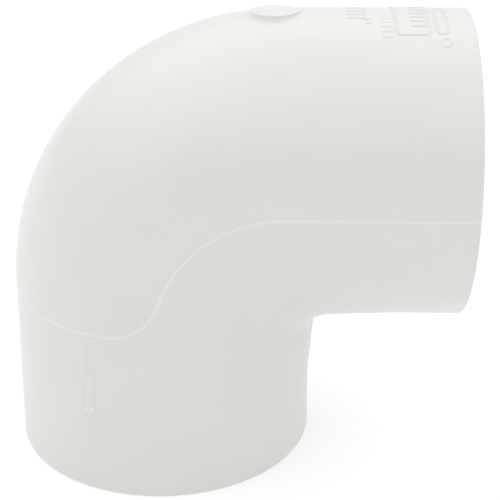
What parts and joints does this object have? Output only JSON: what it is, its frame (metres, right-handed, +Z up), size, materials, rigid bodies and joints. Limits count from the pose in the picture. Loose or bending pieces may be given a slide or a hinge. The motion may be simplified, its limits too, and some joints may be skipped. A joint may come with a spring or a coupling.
{
  "type": "pipe elbow",
  "caption": "Smooth white 90 degree PVC pipe elbow with a plain solvent-weld socket at each end, for turning an irrigation or drain line through a right angle.",
  "frame": {"origin": "centre of the lower socket's mouth, in the plane of its rim, which the fitting stands on", "axes": "+Z up, from the lower mouth into the fitting along the lower leg's axis; +X along the side leg's axis, out of the side mouth; +Y across the fitting, square to its plane of symmetry"},
  "size_m": [0.0857, 0.058, 0.0859],
  "materials": {
    "white_pvc": "semi-gloss, smooth moulded white PVC"
  },
  "bodies": {
    "root": {"bend_body": "white_pvc", "side_socket": "white_pvc", "lower_socket": "white_pvc", "side_pipe_stop": "white_pvc", "lower_pipe_stop": "white_pvc", "gate_pad": "white_pvc", "parting_line": "white_pvc", "size_mark": "white_pvc", "size_ticks": "white_pvc", "grade_mark": "white_pvc", "badge_frame": "white_pvc", "badge_bars": "white_pvc", "bracket_mark": "white_pvc", "ring_mark": "white_pvc", "cavity_mark": "white_pvc"}
  },
  "joints": []
}
